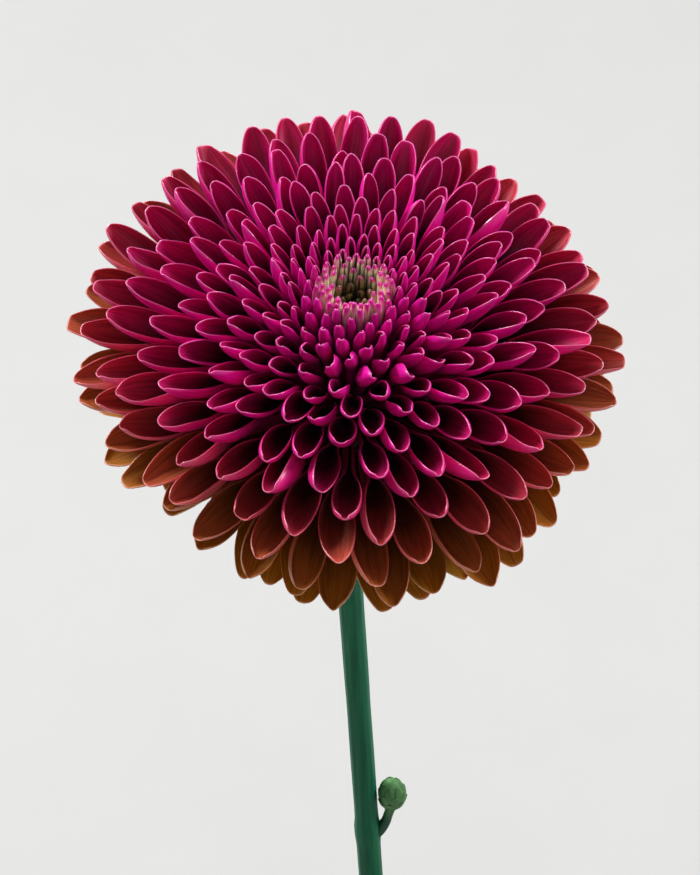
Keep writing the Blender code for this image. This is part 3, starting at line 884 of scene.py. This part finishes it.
def make_bracts(template):
    """Two rows of bracts round the flare, each between two of the other row."""
    materials = (
        bract_material("BractFace", (0.05, 0.16, 0.06), 0.86),
        bract_material("BractReverse", (0.02, 0.10, 0.035), 0.86),
        bract_material("BractEdge", (0.05, 0.15, 0.05), 0.9),
    )
    for row, (start, along, tips, lean, width) in enumerate(BRACT_ROWS):
        chance = random.Random(row + FIRST_BRACT_SEED)
        start = np.array(start)
        normal = np.array((along[1], -along[0]))
        lean = math.radians(lean)
        pieces = []
        for number in range(BRACTS):
            tip = np.array(tips) + (chance.uniform(-0.3, 1.0), chance.uniform(-0.5, 0.4))
            span = float(np.linalg.norm(tip - start))
            pull = np.array((math.sin(lean), math.cos(lean))) * 0.4 * span
            plan = bract_plan(width, span * 0.95, chance)
            bract = copy_blade(template, f"bract_{number:02d}")
            curve = (start, start + normal * 0.14 * span, tip - pull, tip)
            angle = math.tau * (number + row / 2) / BRACTS
            blade, below_tip, across = roll_blade(bract, curve, plan, angle, BRACT_BLADE)
            mark(bract.data, "edge", np.maximum(np.abs(across), blade ** 6))
            mark_grain(bract.data, below_tip, across, chance.random())
            pieces.append(bract)
        piece = join_pieces(f"bracts_{row + 1}", pieces)
        give_skin(piece, BRACT_SKIN, materials)
        finish_piece(piece, "bract_green", f"bract_row_{row + 1}")


# Stem and bud

def tube_profile(corners, ribs, groove):
    """Outline of a tube, one metre in radius, drawn in between its ribs."""
    deselect()
    bpy.ops.mesh.primitive_circle_add(vertices=corners, radius=1.0, location=(0.0, 0.0, 0.0))
    profile = bpy.context.object
    spacing = corners // ribs
    for vertex in profile.data.vertices:
        if vertex.index % spacing:
            vertex.co *= 1.0 - groove
    bpy.ops.object.convert(target="CURVE")
    return profile


def make_tube(name, stations, profile):
    """Solid tube through stations of a point and a radius, in millimetres."""
    path = bpy.data.curves.new(name, "CURVE")
    path.dimensions = "3D"
    path.bevel_mode = "OBJECT"
    path.bevel_object = profile
    path.use_fill_caps = True
    spline = path.splines.new("POLY")
    spline.points.add(len(stations) - 1)
    for point, (place, radius) in zip(spline.points, stations):
        point.co = (*(Vector(place) * MM), 1.0)
        point.radius = radius * MM
    piece = bpy.data.objects.new(name, path)
    bpy.context.collection.objects.link(piece)
    activate(piece)
    bpy.ops.object.convert(target="MESH")
    bpy.ops.object.mode_set(mode="EDIT")
    bpy.ops.mesh.select_all(action="SELECT")
    bpy.ops.mesh.remove_doubles(threshold=0.01 * MM)
    face_outwards()
    return bpy.context.object


def stem_point(level):
    """Point on the straight run of the stem at a height."""
    return STEM_FOOT.lerp(STEM_BEND, (level - STEM_FOOT.z) / (STEM_BEND.z - STEM_FOOT.z))


def stem_stations():
    """Stem from its cut foot, past the node of the side bud, to the crown of the dome."""
    stations = []
    levels = np.concatenate([np.linspace(STEM_FOOT.z, 160.0, 16), np.linspace(163.0, 200.0, 16)])
    for level in levels:
        swelling = NODE_SWELLING * math.exp(-((level - NODE_HEIGHT) / NODE_LENGTH) ** 2)
        uneven = 0.035 * math.sin(level / 11.0) + 0.03 * math.sin(level / 4.7)
        stations.append((stem_point(level), STEM_RADIUS + swelling + uneven))
    up = HEAD_TURN.to_3x3() @ Vector((0.0, 0.0, 1.0))
    neck = HEAD @ Vector((0.0, 0.0, FLARE[0][1]))
    pull = (neck - STEM_BEND).length * BEND_PULL
    straight = (STEM_BEND - STEM_FOOT).normalized()
    bend = (STEM_BEND, STEM_BEND + straight * pull, neck - up * pull, neck)
    for point in curve_points(bend, np.linspace(0.0, 0.96, 18))[0]:
        stations.append((point, STEM_RADIUS))
    dome = [dome_point(math.radians(90.0 - step * 15.0))[0] for step in range(6)]
    for radius, level in smooth_line([*FLARE, *dome, (0.3, DOME_LEVEL + DOME_RISE)], 3):
        stations.append((HEAD @ Vector((0.0, 0.0, level)), max(radius, 0.3)))
    return stations


def make_stem():
    profile = tube_profile(RIBS * 4, RIBS, RIB_DEPTH)
    stem = make_tube("flower_stem", stem_stations(), profile)
    bpy.data.objects.remove(profile, do_unlink=True)
    put_materials(stem, stem_material())
    finish_piece(stem, "stem_green", "stem")


def make_bud_scale(number, row):
    """One scale of the bud, laid on its side and lifting a little at the tip."""
    deselect()
    bpy.ops.mesh.primitive_grid_add(
        x_subdivisions=6, y_subdivisions=4, size=2.0, calc_uvs=False, location=(0.0, 0.0, 0.0))
    scale = bpy.context.object
    base, length = BUD_SCALES[row]
    outs, levels, radii = (np.array(column) for column in zip(*BUD_SECTIONS))
    middle = math.tau * (number + row * 0.5) / SCALES_ROUND
    for vertex in scale.data.vertices:
        share = (vertex.co.x + 1.0) / 2.0
        level = base + length * share
        reach = 0.62 * math.sqrt(max(0.02, 1.0 - share ** 2.4)) * (0.75 + 0.25 * share)
        angle = middle + vertex.co.y * reach
        radius = float(np.interp(level, levels, radii))
        radius = radius + 0.1 + 0.22 * share - 0.1 * abs(vertex.co.y)
        centre = stem_point(level) + Vector((float(np.interp(level, levels, outs)), 0.0, 0.0))
        vertex.co = (centre + Vector((math.cos(angle), math.sin(angle), 0.0)) * radius) * MM
    return scale


def make_bud():
    """Side bud on its short bent stalk, with its scales."""
    stations = []
    for out, level, radius in smooth_line(BUD_SECTIONS, 3):
        stations.append((stem_point(level) + Vector((out, 0.0, 0.0)), radius))
    profile = tube_profile(24, 24, 0.0)
    body = make_tube("side_bud_body", stations, profile)
    bpy.data.objects.remove(profile, do_unlink=True)
    put_materials(body, bud_material("BudSkin", (0.05, 0.16, 0.05), (0.10, 0.26, 0.08)))
    finish_piece(body, "bud_green", "side_bud")
    rows = range(len(BUD_SCALES))
    scales = [make_bud_scale(number, row) for row in rows for number in range(SCALES_ROUND)]
    piece = join_pieces("side_bud_scales", scales)
    face_outwards()
    green = bud_material("ScaleSkin", (0.035, 0.13, 0.04), (0.075, 0.21, 0.06))
    give_skin(piece, SCALE_SKIN, (green, green, green))
    finish_piece(piece, "bud_green", "side_bud")


# Vase

def vase_outline():
    """Radius and height round the vase's wall, from under its foot to the middle of its floor."""
    outside = smooth_line(VASE_OUTSIDE, 4)
    along = np.gradient(outside, axis=0)
    along /= np.linalg.norm(along, axis=1)[:, None]
    normal = np.stack([along[:, 1], -along[:, 0]], 1)
    inside = (outside - normal * VASE_WALL)[::-1]
    inside = inside[inside[:, 1] > VASE_FLOOR + VASE_WALL]
    middle = (outside[-1] + inside[0]) / 2
    half = outside[-1] - middle
    up = np.array((-half[1], half[0]))
    turns = np.radians((40, 75, 105, 140))
    lip = [middle + half * math.cos(turn) + up * 0.8 * math.sin(turn) for turn in turns]
    low = inside[-1][0]
    steps = ((1.2, 1.6), (3.4, 0.5), (7.0, 0.0))
    floor = [(low - inwards, VASE_FLOOR + rise) for inwards, rise in steps]
    return [*VASE_FOOT, *outside, *lip, *inside, *floor]


def make_vase():
    """Bottle vase, drawn up from its foot ring by ring, over the lip and down inside."""
    outline = vase_outline()
    deselect()
    radius, level = outline[0]
    bpy.ops.mesh.primitive_circle_add(
        vertices=VASE_SIDES, radius=radius * MM, fill_type="NGON", location=(0.0, 0.0, level * MM))
    bpy.ops.object.transform_apply(location=True)
    vase = bpy.context.object
    vase.name = "bottle_vase"
    vase.data.name = "bottle_vase"
    bpy.ops.object.mode_set(mode="EDIT")
    bpy.ops.mesh.select_all(action="SELECT")
    for wider, higher in outline[1:]:
        rise = (0.0, 0.0, (higher - level) * MM)
        bpy.ops.mesh.extrude_region_move(TRANSFORM_OT_translate={"value": rise})
        ratio = wider / radius
        bpy.ops.transform.resize(value=(ratio, ratio, 1.0), center_override=(0.0, 0.0, higher * MM))
        radius, level = wider, higher
    face_outwards()
    put_materials(vase, glaze_material())
    finish_piece(vase, "vase_glaze", "vase")


# Stage

def make_floor():
    deselect()
    bpy.ops.mesh.primitive_plane_add(size=FLOOR_SIZE, location=(0.0, 0.0, 0.0))
    floor = bpy.context.object
    floor.name = "floor"
    put_materials(floor, paper_material())


def add_lamp(name, place, size, power):
    """Round soft lamp that shines at the head."""
    bpy.ops.object.light_add(type="AREA", location=place)
    lamp = bpy.context.object
    lamp.name = name
    lamp.data.shape = "DISK"
    lamp.data.size = size
    lamp.data.energy = power
    direction = HEAD_CENTRE * MM - Vector(place)
    lamp.rotation_euler = direction.to_track_quat("-Z", "Y").to_euler()


def make_light():
    """Lamps, and a world that lights the scene evenly and shows the backdrop."""
    deselect()
    for name, place, size, power in LAMPS:
        add_lamp(name, place, size, power)
    world = bpy.data.worlds.new("Studio")
    bpy.context.scene.world = world
    world.use_nodes = True
    tree = world.node_tree
    background = tree.nodes["Background"]
    colour = mix(tree, seen_or_mirrored(tree), WORLD_LIGHT, BACKDROP)
    tree.links.new(colour, background.inputs["Color"])
    background.inputs["Strength"].default_value = 1.0


def make_camera():
    """Looks down on the nodding head, with the upper stem below it in view."""
    crown = HEAD @ Vector((0.0, 0.0, CROWN_LEVEL)) * MM
    back = Vector((0.0, -math.cos(LOOK_DOWN), math.sin(LOOK_DOWN)))
    up = Vector((0.0, math.sin(LOOK_DOWN), math.cos(LOOK_DOWN)))
    aim = crown - up * AIM_BELOW - Vector((AIM_LEFT, 0.0, 0.0))
    bpy.ops.object.camera_add(location=aim + back * STAND_BACK)
    camera = bpy.context.object
    camera.rotation_mode = "QUATERNION"
    camera.rotation_quaternion = (-back).to_track_quat("-Z", "Y")
    camera.data.lens = LENS
    camera.data.sensor_width = SENSOR
    camera.data.clip_start = NEAREST_SEEN
    bpy.context.scene.camera = camera
    bpy.context.scene.view_settings.view_transform = "Standard"


blade = blade_template()
make_head(blade)
make_bracts(blade)
bpy.data.objects.remove(blade, do_unlink=True)
make_stem()
make_bud()
make_vase()
make_floor()
make_light()
make_camera()
